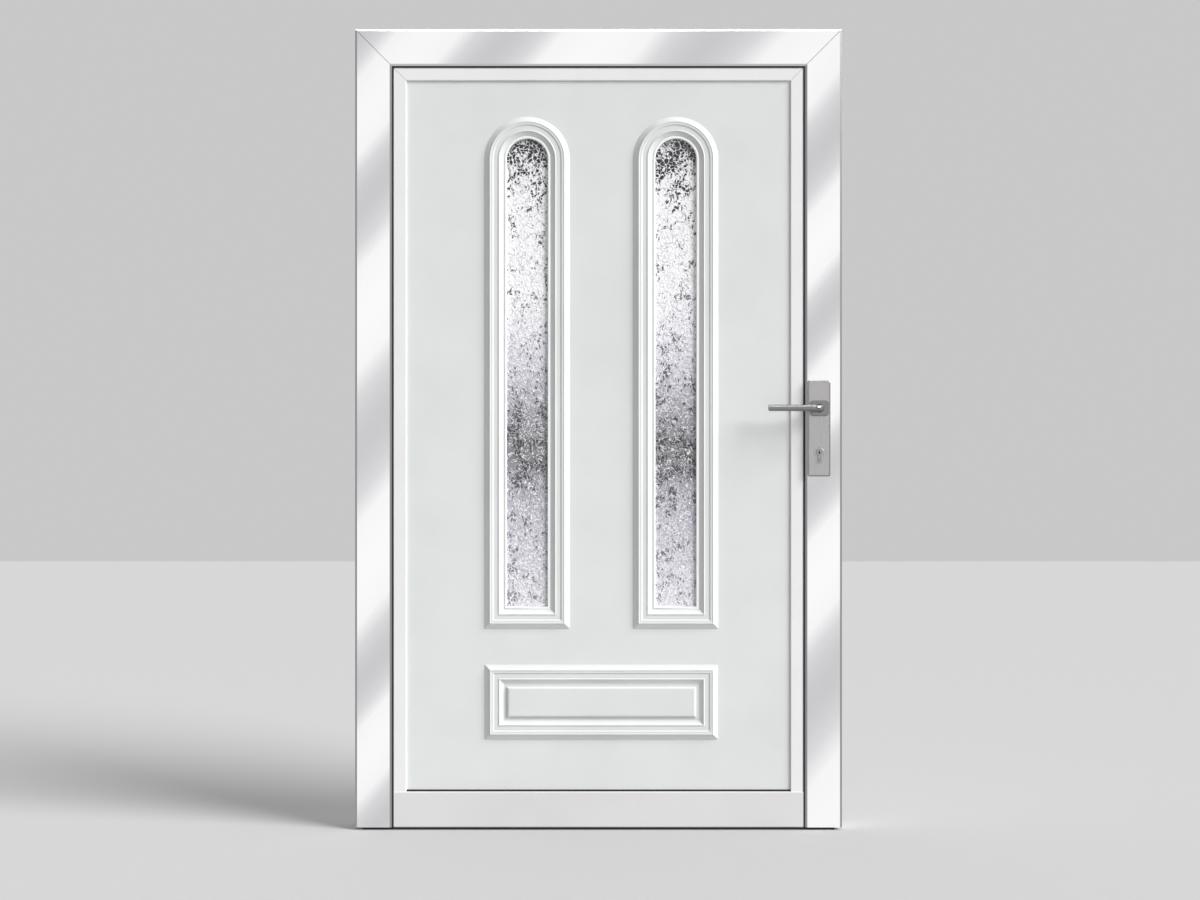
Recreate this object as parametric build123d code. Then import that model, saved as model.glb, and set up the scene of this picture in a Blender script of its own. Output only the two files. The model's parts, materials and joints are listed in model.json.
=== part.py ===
from build123d import *
import os

# Entrance door with two arched lites, hung in a slim metal frame.
# X runs right, Z up, and the street side looks along -Y. The origin is on the floor, at the middle
# of the threshold. Lengths are in millimetres.
# Across the leaf, "inset" is a distance in from the outer edge of its stiles and top rail.

os.makedirs("parts", exist_ok=True)

# Leaf
LEAF_WIDTH = 1216.0
LEAF_TOP = 2000.0
FLOOR_GAP = 6.5
FLANGE_THICK = 22.0
BODY_DEPTH = 55.0
FACE_WIDTH = 91.5
BEVEL_WIDTH = 5.0
BEVEL_DEPTH = 2.0
LEG_THICK = 25.0
PANEL_LAP = 11.0

# Frame behind the leaf's flange
FRAME_FRONT = -31.0
FRAME_DEPTH = 66.0
JAMB_THICK = 20.0
THRESHOLD_HEIGHT = 20.0
STOP_LIP = 12.0
FLANGE_GAP = 9.0
EDGE_GAP = 7.0
STOP_GAP = 7.0
STOP_GASKET_THICK = 2.0
STOP_GASKET_WIDTH = 8.0
NOSE_CHAMFER = 6.0

# Wall fixings through the frame
FIXING_HOLE_RADIUS = 5.0
FIXING_DEPTH = 5.0
JAMB_FIXING_FIRST = 150.0
JAMB_FIXING_DROP = 200.0
JAMB_FIXING_COUNT = 4
HEAD_FIXING_INSET = 158.0

# Gaskets, beads and bottom rail
GASKET_WIDTH = 5.0
GASKET_THICK = 3.0
GASKET_SINK = 2.0
BEAD_WIDTH = 31.5
BEAD_THICK = 5.0
BEAD_LEG = 11.5
BEAD_CHAMFER = 1.5
PANEL_PLAY = 3.0
RAIL_TOP = 95.5
RAIL_LAP = 15.5
RAIL_SET_BACK = 1.0
RAIL_CHAMFER = 2.0
SILL_GASKET_HEIGHT = 4.5
SILL_GASKET_THICK = 2.0
SEAL_DEPTH = 14.0
SEAL_DROP = 5.0
SEAL_END = 18.0

# Panel
PANEL_THICK = 40.0
PANEL_SET_BACK = 8.0
SKIN_THICK = 2.0

# Arched lites and mouldings
GROUP_X = 7.5
LITE_SPACING = 371.6
GLASS_RADIUS = 51.0
ARCH_DROP = 324.0
GLASS_BOTTOM = 558.0
PANE_THICK = 4.0
PANE_SINK = 4.0
PANE_LAP = 11.5
PANE_PLAY = 0.5
SPACER_WIDTH = 6.5
MOULDING_WIDTH = 55.0
MOULDING_EDGE = 1.2
OUTER_SLOPE = 13.0
CREST_HEIGHT = 10.0
CREST_STEP = 3.0
LEDGE_WIDTH = 3.5
LEDGE_HEIGHT = 9.0
LEDGE_STEP = 3.5
FLAT_HEIGHT = 7.0
ROLL_STEP = 1.5
ROLL_CREST = 1.0
ROLL_HEIGHT = 8.6
INNER_SLOPE = 12.0
LIP_WIDTH = 7.0
LIP_HEIGHT = 1.5
SLOPE_BOW = 0.8
INSERT_WIDTH = 582.0
INSERT_HEIGHT = 186.0
INSERT_Z = 319.0
FIELD_HEIGHT = 8.0
FIELD_ROUND = 5.5

# Handle and lock
SPINDLE_INSET = 58.0
SPINDLE_Z = 1053.0
SPINDLE_SIDE = 8.0
SPINDLE_PLAY = 4.0
FRONT_PLATE_WIDTH = 57.0
BACK_PLATE_WIDTH = 32.0
PLATE_HEIGHT = 240.0
PLATE_THICK = 10.0
PLATE_BELOW = 50.0
PLATE_CORNER = 5.0
PLATE_ROUND = 4.0
COLLAR_WIDTH = 48.0
BACK_COLLAR_WIDTH = 28.0
COLLAR_HEIGHT = 39.0
COLLAR_THICK = 8.0
COLLAR_CORNER = 9.0
COLLAR_CHAMFER = 1.5
RUNNING_FIT = 0.05
BAR_RADIUS = 8.2
BAR_OUT = 45.0
BAR_LENGTH = 131.0
BAR_BEND = 14.0
BAR_CHAMFER = 2.5
NECK_RADIUS = 11.0
NECK_LENGTH = 34.0
NECK_PLAY = 1.0
SOCKET_DEPTH = 25.0
CYLINDER_DROP = 110.0
CYLINDER_RADIUS = 8.5
CYLINDER_WEB = 10.0
CYLINDER_HEIGHT = 33.0
CYLINDER_PROUD = 2.0
CYLINDER_PLAY = 0.3
PLUG_RADIUS = 6.5
PLUG_LENGTH = 30.0
PLUG_PROUD = 0.6
KEYWAY_WIDTH = 1.6
KEYWAY_HEIGHT = 8.5
KEYWAY_DEPTH = 22.0
RIM_WALL = 4.0
RIM_THICK = 2.5
RIM_CHAMFER = 1.0

# Bolts in the lock edge and their strike plate
EDGE_PLATE_WIDTH = 20.0
EDGE_PLATE_HEIGHT = 270.0
EDGE_PLATE_THICK = 3.0
BOLT_THICK = 12.0
BOLT_LENGTH = 18.0
LATCH_HEIGHT = 26.0
DEADBOLT_HEIGHT = 34.0
BOLT_PLAY = 0.3
STRIKE_ROOM = 12.0
STRIKE_WINDOW_PLAY = 3.0

# Hinges, hidden in pockets in the back of the flange
HINGE_FIRST = 250.0
HINGE_DROP = 300.0
HINGE_HEIGHT = 100.0
HINGE_INSET = 10.0
HINGE_SINK = 11.0
KNUCKLE_RADIUS = 6.5
KNUCKLE_GAP = 0.5
PIN_RADIUS = 3.5
PIN_HEAD_RADIUS = 5.5
PIN_HEAD_HEIGHT = 2.0
HINGE_PLATE_THICK = 4.0
HINGE_PLATE_WIDTH = 25.0
HINGE_ARM_THICK = 7.0
POCKET_PLAY = 2.0

# Places that follow from the sizes above
HALF = LEAF_WIDTH / 2
FLANGE_BACK = FRAME_FRONT - FLANGE_GAP
LEAF_FRONT = FLANGE_BACK - FLANGE_THICK
LEAF_BACK = FLANGE_BACK + BODY_DEPTH
LEG_FRONT = LEAF_BACK - LEG_THICK
FRAME_BACK = FRAME_FRONT + FRAME_DEPTH
STOP_FRONT = LEAF_BACK + STOP_GAP
JAMB_FACE = HALF - JAMB_THICK
HEAD_FACE = LEAF_TOP - JAMB_THICK
BODY_INSET = JAMB_THICK + EDGE_GAP
BODY_EDGE = HALF - BODY_INSET
BODY_BOTTOM = THRESHOLD_HEIGHT + EDGE_GAP
REBATE = FACE_WIDTH + GASKET_WIDTH
GASKET_FRONT = LEAF_FRONT + GASKET_SINK
GASKET_BACK = GASKET_FRONT + GASKET_THICK
PANEL_FRONT = LEAF_FRONT + PANEL_SET_BACK
PANEL_BACK = PANEL_FRONT + PANEL_THICK
FRONT_PANE = PANEL_FRONT + PANE_SINK
BACK_PANE = PANEL_BACK - PANE_SINK - PANE_THICK
PANEL_INSET = REBATE + BEAD_LEG + PANEL_PLAY
PANEL_BOTTOM = RAIL_TOP - RAIL_LAP
LEG_REACH = PANEL_INSET + PANEL_LAP
BEAD_FRONT = PANEL_FRONT - BEAD_THICK
BEAD_EDGE = REBATE + BEAD_WIDTH
RAIL_FRONT = LEAF_FRONT + RAIL_SET_BACK
ARCH_Z = LEAF_TOP - ARCH_DROP
SPINDLE_X = HALF - SPINDLE_INSET
PLATE_Z = SPINDLE_Z - PLATE_BELOW
CYLINDER_Z = SPINDLE_Z - CYLINDER_DROP
CYLINDER_FRONT = LEAF_FRONT - PLATE_THICK - RIM_THICK - CYLINDER_PROUD
CYLINDER_BACK = LEAF_BACK + PLATE_THICK + RIM_THICK + CYLINDER_PROUD
EDGE_PLATE_DEPTH = (FLANGE_BACK + LEAF_BACK) / 2
HINGE_X = HINGE_INSET - HALF
HINGE_Y = LEAF_FRONT + HINGE_SINK
HINGE_LAST = LEAF_TOP - HINGE_DROP
HINGE_PLACES = (HINGE_FIRST, (HINGE_FIRST + HINGE_LAST) / 2, HINGE_LAST)


def block(x_range, y_range, z_range):
    """Box between a low and a high end on each axis."""
    ranges = (x_range, y_range, z_range)
    sides = [high - low for low, high in ranges]
    middle = [(high + low) / 2 for low, high in ranges]
    return Pos(*middle) * Box(*sides)


def facing(outline, front, back):
    """Solid of an outline drawn on the door's face, between two depths."""
    plane = Plane((0, back, 0), x_dir=(1, 0, 0), z_dir=(0, -1, 0))
    return extrude(plane * outline, back - front)


def upright(points, bottom, top):
    """Solid of a level section, between two heights."""
    section = make_face(Polyline(*points, close=True))
    return extrude(Pos(0, 0, bottom) * section, top - bottom)


def crosswise(points, half_length):
    """Solid of a (depth, height) section that runs along X, centred on the door."""
    section = make_face(Polyline(*points, close=True))
    return extrude(Plane.YZ.offset(-half_length) * section, 2 * half_length)


def rod(start, end, radius):
    """Round bar between two points."""
    along = Vector(*end) - Vector(*start)
    shape = Cylinder(radius, along.length, align=(Align.CENTER, Align.CENTER, Align.MIN))
    return Plane(Vector(*start), z_dir=along) * shape


def around(middle, size):
    """Low and high end of a length that is centred on a place."""
    return (middle - size / 2, middle + size / 2)


def sides(side, near, far):
    """Low and high X between two distances from the door's middle, on one side of it."""
    return tuple(sorted((side * near, side * far)))


# Frame

def fixing_heights():
    """Heights of the wall fixings in a jamb, evenly spaced."""
    pitch = (LEAF_TOP - JAMB_FIXING_DROP - JAMB_FIXING_FIRST) / (JAMB_FIXING_COUNT - 1)
    return [JAMB_FIXING_FIRST + number * pitch for number in range(JAMB_FIXING_COUNT)]


def jamb(side):
    """One jamb, side -1 at the hinges and 1 at the lock, with its fixing holes."""
    solid = block(sides(side, JAMB_FACE, HALF), (FRAME_FRONT, FRAME_BACK), (0, HEAD_FACE))
    for height in fixing_heights():
        inside = (side * JAMB_FACE, FIXING_DEPTH, height)
        solid -= rod(inside, (side * HALF, FIXING_DEPTH, height), FIXING_HOLE_RADIUS)
    return solid


def frame_head():
    """Head of the frame, which lies on both jambs."""
    solid = block((-HALF, HALF), (FRAME_FRONT, FRAME_BACK), (HEAD_FACE, LEAF_TOP))
    for side in (-1, 1):
        across = side * (HALF - HEAD_FIXING_INSET)
        below = (across, FIXING_DEPTH, HEAD_FACE)
        solid -= rod(below, (across, FIXING_DEPTH, LEAF_TOP), FIXING_HOLE_RADIUS)
    return solid


def threshold():
    """Low threshold between the jambs, with a sloping nose and a stop lip behind the leaf."""
    points = [
        (FRAME_FRONT, 0),
        (FRAME_BACK, 0),
        (FRAME_BACK, THRESHOLD_HEIGHT + STOP_LIP),
        (STOP_FRONT, THRESHOLD_HEIGHT + STOP_LIP),
        (STOP_FRONT, THRESHOLD_HEIGHT),
        (FRAME_FRONT + NOSE_CHAMFER, THRESHOLD_HEIGHT),
        (FRAME_FRONT, THRESHOLD_HEIGHT - NOSE_CHAMFER),
    ]
    return crosswise(points, JAMB_FACE)


def door_stop():
    """Stop strip planted on the jambs and the head, which stands on the threshold's lip."""
    outer = inset_face(JAMB_THICK, THRESHOLD_HEIGHT + STOP_LIP)
    inner = inset_face(JAMB_THICK + STOP_LIP, THRESHOLD_HEIGHT + STOP_LIP)
    return facing(outer - inner, STOP_FRONT, FRAME_BACK)


def stop_gasket():
    """Soft gasket on the face of the stop, round the doorway's two sides and top."""
    margin = (STOP_LIP - STOP_GASKET_WIDTH) / 2
    outer = inset_face(JAMB_THICK + margin, THRESHOLD_HEIGHT + STOP_LIP)
    inner = inset_face(JAMB_THICK + margin + STOP_GASKET_WIDTH, THRESHOLD_HEIGHT + STOP_LIP)
    return facing(outer - inner, STOP_FRONT - STOP_GASKET_THICK, STOP_FRONT)


# Leaf

def inset_face(inset, bottom):
    """Rectangle that lies an inset in from the leaf's sides and top, down to a height."""
    top = LEAF_TOP - inset
    return Pos(0, (top + bottom) / 2) * Rectangle(2 * (HALF - inset), top - bottom)


def mitre(side):
    """Plane of the mitre at a top corner of the leaf, facing the top rail."""
    return Plane((side * HALF, 0, LEAF_TOP), z_dir=(-side, 0, 1))


def band_section():
    """Section of the stiles and the top rail as (inset, depth) points."""
    return [
        (0, LEAF_FRONT + BEVEL_DEPTH),
        (BEVEL_WIDTH, LEAF_FRONT),
        (FACE_WIDTH - BEVEL_WIDTH, LEAF_FRONT),
        (FACE_WIDTH, LEAF_FRONT + BEVEL_DEPTH),
        (FACE_WIDTH, GASKET_BACK),
        (REBATE, GASKET_BACK),
        (REBATE, LEG_FRONT),
        (LEG_REACH, LEG_FRONT),
        (LEG_REACH, LEAF_BACK),
        (BODY_INSET, LEAF_BACK),
        (BODY_INSET, FLANGE_BACK),
        (0, FLANGE_BACK),
    ]


def bead_section():
    """Section of a glazing bead: a strip over the panel's edge and a leg beside the panel."""
    return [
        (REBATE, BEAD_FRONT),
        (BEAD_EDGE - BEAD_CHAMFER, BEAD_FRONT),
        (BEAD_EDGE, BEAD_FRONT + BEAD_CHAMFER),
        (BEAD_EDGE, PANEL_FRONT),
        (REBATE + BEAD_LEG, PANEL_FRONT),
        (REBATE + BEAD_LEG, LEG_FRONT),
        (REBATE, LEG_FRONT),
    ]


def side_member(section, side, bottom):
    """Upright member of the given section at one side of the leaf, mitred at the top."""
    points = [(side * (HALF - inset), depth) for inset, depth in section]
    return split(upright(points, bottom, LEAF_TOP), bisect_by=mitre(side), keep=Keep.BOTTOM)


def top_member(section):
    """Level member of the given section at the top of the leaf, mitred at both ends."""
    solid = crosswise([(depth, LEAF_TOP - inset) for inset, depth in section], HALF)
    for side in (-1, 1):
        solid = split(solid, bisect_by=mitre(side), keep=Keep.TOP)
    return solid


def stile(side):
    """One stile, side -1 at the hinges and 1 at the lock, cut clear of the threshold."""
    solid = side_member(band_section(), side, FLOOR_GAP)
    foot = sides(side, HALF - LEG_REACH, BODY_EDGE)
    return solid - block(foot, (FLANGE_BACK, LEAF_BACK), (FLOOR_GAP, BODY_BOTTOM))


def bottom_rail():
    """Bottom rail between the stiles, whose front lip holds the panel's lower edge."""
    points = [
        (RAIL_FRONT, FLOOR_GAP + RAIL_CHAMFER),
        (RAIL_FRONT, RAIL_TOP - RAIL_CHAMFER),
        (RAIL_FRONT + RAIL_CHAMFER, RAIL_TOP),
        (PANEL_FRONT, RAIL_TOP),
        (PANEL_FRONT, PANEL_BOTTOM),
        (LEG_FRONT, PANEL_BOTTOM),
        (LEG_FRONT, PANEL_BOTTOM + PANEL_LAP),
        (LEAF_BACK, PANEL_BOTTOM + PANEL_LAP),
        (LEAF_BACK, BODY_BOTTOM),
        (FLANGE_BACK, BODY_BOTTOM),
        (FLANGE_BACK, FLOOR_GAP),
        (RAIL_FRONT + RAIL_CHAMFER, FLOOR_GAP),
    ]
    solid = crosswise(points, HALF - REBATE)
    for side in (-1, 1):
        behind = sides(side, HALF - LEG_REACH, HALF - REBATE)
        solid -= block(behind, (LEG_FRONT, LEAF_BACK), (BODY_BOTTOM, PANEL_BOTTOM + PANEL_LAP))
    return solid


def front_gasket():
    """Black gasket in the groove between the stiles and the beads, round three sides."""
    outline = inset_face(FACE_WIDTH, FLOOR_GAP) - inset_face(REBATE, FLOOR_GAP)
    return facing(outline, GASKET_FRONT, GASKET_BACK)


def back_gasket():
    """Gasket ring between the panel's back and the leaf's rear legs."""
    outline = inset_face(PANEL_INSET, PANEL_BOTTOM)
    outline -= inset_face(LEG_REACH, PANEL_BOTTOM + PANEL_LAP)
    return facing(outline, PANEL_BACK, LEG_FRONT)


def sill_gasket():
    """Gasket strip on the panel, along the top of the bottom rail."""
    depths = (PANEL_FRONT - SILL_GASKET_THICK, PANEL_FRONT)
    return block(around(0, 2 * (HALF - BEAD_EDGE)), depths, (RAIL_TOP, RAIL_TOP + SILL_GASKET_HEIGHT))


def bottom_seal():
    """Black seal under the leaf, just clear of the floor."""
    depths = around((RAIL_FRONT + FLANGE_BACK) / 2, SEAL_DEPTH)
    return block(around(0, 2 * (HALF - SEAL_END)), depths, (FLOOR_GAP - SEAL_DROP, FLOOR_GAP))


# Panel and lites

def lite_x(side):
    """Middle of the left (-1) or right (1) lite."""
    return GROUP_X + side * LITE_SPACING / 2


def arch_face(side, margin):
    """Outline of a lite grown by a margin all round: a column with a round top."""
    half_width = GLASS_RADIUS + margin
    bottom = GLASS_BOTTOM - margin
    column = Rectangle(2 * half_width, ARCH_Z - bottom)
    outline = Pos(0, (ARCH_Z + bottom) / 2) * column + Pos(0, ARCH_Z) * Circle(half_width)
    return Pos(lite_x(side), 0) * outline


def panel_layer(front, back):
    """One layer of the panel, with the openings for both lites."""
    outline = inset_face(PANEL_INSET, PANEL_BOTTOM)
    for side in (-1, 1):
        outline -= arch_face(side, PANE_LAP + PANE_PLAY)
    return facing(outline, front, back)


def pane(side, front):
    """One arched sheet of glass."""
    return facing(arch_face(side, PANE_LAP), front, front + PANE_THICK)


def spacer(side):
    """Spacer bar round the edge of a lite, between its two panes."""
    outline = arch_face(side, PANE_LAP) - arch_face(side, PANE_LAP - SPACER_WIDTH)
    return facing(outline, FRONT_PANE + PANE_THICK, BACK_PANE)


def moulding_section(rebate):
    """Section of the moulding as (distance out from its opening, height over the panel).

    A hollow slope rises from the panel to the crest, and two steps go down to a flat band. Inside
    the band a small roll stands over a second hollow slope, which ends at the lip round the
    opening. The rebate reaches into the panel's opening, to the pane.
    """
    foot = (MOULDING_WIDTH, MOULDING_EDGE)
    crest = MOULDING_WIDTH - OUTER_SLOPE
    ledge = crest - CREST_STEP
    ledge_end = ledge - LEDGE_WIDTH
    roll = LIP_WIDTH + INNER_SLOPE
    curve = SagittaArc(foot, (crest, CREST_HEIGHT), SLOPE_BOW)
    curve += Polyline(
        (crest, CREST_HEIGHT),
        (ledge, LEDGE_HEIGHT),
        (ledge_end, LEDGE_HEIGHT),
        (ledge_end - LEDGE_STEP, FLAT_HEIGHT),
        (roll + ROLL_CREST + ROLL_STEP, FLAT_HEIGHT),
        (roll + ROLL_CREST, ROLL_HEIGHT),
        (roll, ROLL_HEIGHT),
    )
    curve += SagittaArc((roll, ROLL_HEIGHT), (LIP_WIDTH, LIP_HEIGHT), SLOPE_BOW)
    inside = [(LIP_WIDTH, LIP_HEIGHT), (0, LIP_HEIGHT)]
    if rebate > 0:
        inside += [(0, -rebate), (PANE_LAP, -rebate), (PANE_LAP, 0)]
    else:
        inside += [(0, 0)]
    curve += Polyline(*inside, (MOULDING_WIDTH, 0), foot)
    return make_face(curve)


def moulding_bar(section, start, end, mitre_start, mitre_end):
    """Straight length of moulding whose inner edge runs from start to end on the panel's face."""
    along = (Vector(*end) - Vector(*start)).normalized()
    outward = along.cross(Vector(0, 1, 0))
    before = MOULDING_WIDTH if mitre_start else 0
    after = MOULDING_WIDTH if mitre_end else 0
    length = (Vector(*end) - Vector(*start)).length
    origin = Vector(*start) - along * before
    bar = extrude(Plane(origin, x_dir=outward, z_dir=along) * section, before + length + after)
    if mitre_start:
        bar = split(bar, bisect_by=Plane(start, z_dir=-along - outward), keep=Keep.BOTTOM)
    if mitre_end:
        bar = split(bar, bisect_by=Plane(end, z_dir=along - outward), keep=Keep.BOTTOM)
    return bar


def arch_moulding(side):
    """Moulding round a lite: two legs, a foot with mitred corners, and a half round head."""
    section = moulding_section(PANE_SINK)
    middle = lite_x(side)
    right_top = (middle + GLASS_RADIUS, PANEL_FRONT, ARCH_Z)
    right_foot = (middle + GLASS_RADIUS, PANEL_FRONT, GLASS_BOTTOM)
    left_foot = (middle - GLASS_RADIUS, PANEL_FRONT, GLASS_BOTTOM)
    left_top = (middle - GLASS_RADIUS, PANEL_FRONT, ARCH_Z)
    solid = moulding_bar(section, right_top, right_foot, False, True)
    solid += moulding_bar(section, right_foot, left_foot, True, True)
    solid += moulding_bar(section, left_foot, left_top, True, False)
    springing = Plane(right_top, x_dir=(1, 0, 0), z_dir=(0, 0, -1)) * section
    turn = Axis((middle, PANEL_FRONT, ARCH_Z), (0, -1, 0))
    return solid + revolve(springing, axis=turn, revolution_arc=180)


def lower_insert():
    """Decorative insert under the lites: a mitred moulding round a raised field."""
    section = moulding_section(0)
    field_width = INSERT_WIDTH - 2 * MOULDING_WIDTH
    field_height = INSERT_HEIGHT - 2 * MOULDING_WIDTH
    left, right = around(GROUP_X, field_width)
    bottom, top = around(INSERT_Z, field_height)
    corners = [(right, top), (right, bottom), (left, bottom), (left, top)]
    places = [(x, PANEL_FRONT, z) for x, z in corners]
    depths = (PANEL_FRONT - FIELD_HEIGHT, PANEL_FRONT)
    field = block((left, right), depths, (bottom, top))
    solid = fillet(field.faces().sort_by(Axis.Y)[0].edges(), FIELD_ROUND)
    for start, end in zip(places, places[1:] + places[:1]):
        solid += moulding_bar(section, start, end, True, True)
    return solid


def behind(solid):
    """The same piece on the panel's back."""
    middle = (PANEL_FRONT + PANEL_BACK) / 2
    return mirror(solid, about=Plane((0, middle, 0), x_dir=(1, 0, 0), z_dir=(0, 1, 0)))


# Handle and lock

def cylinder_face(play):
    """Outline of the lock cylinder: a round head over a narrow web with a round foot."""
    head = Pos(SPINDLE_X, CYLINDER_Z) * Circle(CYLINDER_RADIUS + play)
    foot_z = CYLINDER_Z + CYLINDER_RADIUS - CYLINDER_HEIGHT + CYLINDER_WEB / 2
    foot = Pos(SPINDLE_X, foot_z) * Circle(CYLINDER_WEB / 2 + play)
    web = Rectangle(CYLINDER_WEB + 2 * play, CYLINDER_Z - foot_z)
    return head + Pos(SPINDLE_X, (CYLINDER_Z + foot_z) / 2) * web + foot


def plate(outward, face, width, collar_width):
    """Handle plate with a raised collar for the lever's neck and a rim round the cylinder."""
    def layer(outline, low, high):
        depths = sorted((face + outward * low, face + outward * high))
        return facing(outline, *depths)

    def rim(solid):
        top = solid.faces().sort_by(Axis.Y)[-1 if outward > 0 else 0]
        return top.outer_wire().edges()

    body = RectangleRounded(width, PLATE_HEIGHT, PLATE_CORNER)
    solid = layer(Pos(SPINDLE_X, PLATE_Z) * body, 0, PLATE_THICK)
    solid = fillet(rim(solid), PLATE_ROUND)
    collar = RectangleRounded(collar_width, COLLAR_HEIGHT, COLLAR_CORNER)
    out = PLATE_THICK + COLLAR_THICK
    collar = layer(Pos(SPINDLE_X, SPINDLE_Z) * collar, PLATE_THICK, out)
    solid += chamfer(rim(collar), COLLAR_CHAMFER)
    keyhole = layer(cylinder_face(RIM_WALL), PLATE_THICK, PLATE_THICK + RIM_THICK)
    solid += chamfer(rim(keyhole), RIM_CHAMFER)
    mouth = (SPINDLE_X, face + outward * out, SPINDLE_Z)
    solid -= rod((SPINDLE_X, face, SPINDLE_Z), mouth, NECK_RADIUS + RUNNING_FIT)
    return solid - facing(cylinder_face(CYLINDER_PLAY), *sorted((face, mouth[1])))


def lever(outward, face):
    """Lever: a bent round bar on a wider tapered neck, with a socket for the spindle."""
    root = (SPINDLE_X, face + outward * NECK_PLAY, SPINDLE_Z)
    corner = (SPINDLE_X, face + outward * (PLATE_THICK + BAR_OUT), SPINDLE_Z)
    tip = (SPINDLE_X - BAR_LENGTH, corner[1], SPINDLE_Z)
    path = FilletPolyline(root, corner, tip, radius=BAR_BEND)
    bar = sweep(Plane(root, z_dir=(0, outward, 0)) * Circle(BAR_RADIUS), path=path)
    bar = chamfer(bar.edges().group_by(Axis.X)[0], BAR_CHAMFER)
    bar += neck(outward, root)
    return bar - spindle_bar(*sorted((root[1], root[1] + outward * SOCKET_DEPTH)))


def neck(outward, root):
    """Neck of a lever: straight through the collar, then tapered down to the bar."""
    straight = PLATE_THICK + COLLAR_THICK
    collar_face = (root[0], root[1] + outward * straight, root[2])
    place = Plane(collar_face, z_dir=(0, outward, 0))
    from_foot = (Align.CENTER, Align.CENTER, Align.MIN)
    taper = Cone(NECK_RADIUS, BAR_RADIUS, NECK_LENGTH - straight, align=from_foot)
    return rod(root, collar_face, NECK_RADIUS) + place * taper


def spindle_bar(front, back):
    """Square bar on the spindle's axis, between two depths."""
    across = around(SPINDLE_X, SPINDLE_SIDE)
    return block(across, (front, back), around(SPINDLE_Z, SPINDLE_SIDE))


def spindle():
    """Square spindle through the leaf, which ends in the sockets of both levers."""
    inside = NECK_PLAY + SOCKET_DEPTH
    return spindle_bar(LEAF_FRONT - inside, LEAF_BACK + inside)


def plug(outward, radius, play):
    """Round plug in one end of the cylinder, or with play and no keyway the bore for it."""
    end = CYLINDER_BACK if outward > 0 else CYLINDER_FRONT
    outer = (SPINDLE_X, end + outward * PLUG_PROUD, CYLINDER_Z)
    inner = (SPINDLE_X, end - outward * (PLUG_LENGTH + play), CYLINDER_Z)
    return rod(inner, outer, radius + play)


def keyed_plug(outward):
    """Plug with its keyway."""
    end = (CYLINDER_BACK if outward > 0 else CYLINDER_FRONT) + outward * PLUG_PROUD
    depths = tuple(sorted((end, end - outward * KEYWAY_DEPTH)))
    keyway = block(around(SPINDLE_X, KEYWAY_WIDTH), depths, around(CYLINDER_Z, KEYWAY_HEIGHT))
    return plug(outward, PLUG_RADIUS, 0) - keyway


def lock_cylinder():
    """Profile cylinder through the leaf, bored for a plug at each end."""
    solid = facing(cylinder_face(0), CYLINDER_FRONT, CYLINDER_BACK)
    return solid - plug(-1, PLUG_RADIUS, RUNNING_FIT) - plug(1, PLUG_RADIUS, RUNNING_FIT)


def bolt_block(height, middle_z, inner_x, outer_x, play):
    """Square-ended bolt, or the room for it, in the lock edge of the leaf."""
    depths = around(EDGE_PLATE_DEPTH, BOLT_THICK + 2 * play)
    return block((inner_x, outer_x), depths, around(middle_z, height + 2 * play))


def bolts(inner_x, outer_x, play):
    """Latch bolt beside the spindle and deadbolt beside the cylinder."""
    latch = bolt_block(LATCH_HEIGHT, SPINDLE_Z, inner_x, outer_x, play)
    return latch + bolt_block(DEADBOLT_HEIGHT, CYLINDER_Z, inner_x, outer_x, play)


def edge_plate(face, thick):
    """Long plate with rounded ends in an upright edge, from its face inward by its thickness."""
    outline = SlotOverall(EDGE_PLATE_HEIGHT, EDGE_PLATE_WIDTH, rotation=90)
    place = Plane((face, EDGE_PLATE_DEPTH, PLATE_Z), x_dir=(0, 1, 0), z_dir=(1, 0, 0))
    return extrude(place * outline, thick)


def lock_faceplate():
    """Faceplate let into the lock edge of the leaf, flush with it."""
    solid = edge_plate(BODY_EDGE, -EDGE_PLATE_THICK)
    return solid - bolts(BODY_EDGE - EDGE_PLATE_THICK, BODY_EDGE, BOLT_PLAY)


def strike_plate():
    """Strike plate let into the lock jamb, with a window for each bolt."""
    solid = edge_plate(JAMB_FACE, EDGE_PLATE_THICK)
    return solid - bolts(JAMB_FACE, JAMB_FACE + EDGE_PLATE_THICK, STRIKE_WINDOW_PLAY)


def lock_jamb():
    """Lock jamb, cut for the strike plate and for the bolts behind it."""
    solid = jamb(1) - edge_plate(JAMB_FACE, EDGE_PLATE_THICK)
    return solid - bolts(JAMB_FACE, JAMB_FACE + STRIKE_ROOM, STRIKE_WINDOW_PLAY)


def lock_stile():
    """Lock stile, cut for the spindle, the cylinder, the faceplate and the bolts."""
    solid = stile(1)
    spindle_hole = SPINDLE_SIDE / 2 + SPINDLE_PLAY
    front = (SPINDLE_X, LEAF_FRONT, SPINDLE_Z)
    solid -= rod(front, (SPINDLE_X, LEAF_BACK, SPINDLE_Z), spindle_hole)
    solid -= facing(cylinder_face(CYLINDER_PLAY), LEAF_FRONT, LEAF_BACK)
    solid -= edge_plate(BODY_EDGE, -EDGE_PLATE_THICK)
    return solid - bolts(BODY_EDGE - BOLT_LENGTH - BOLT_PLAY, BODY_EDGE, BOLT_PLAY)


# Hinges

def bored(solid, middle):
    """The hinge part with the pin's bore through it."""
    low, high = around(middle, HINGE_HEIGHT)
    return solid - rod((HINGE_X, HINGE_Y, low), (HINGE_X, HINGE_Y, high), PIN_RADIUS + RUNNING_FIT)


def hinge_middle(middle):
    """Heights between which the leaf's own knuckle turns."""
    return around(middle, HINGE_HEIGHT / 3)


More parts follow.
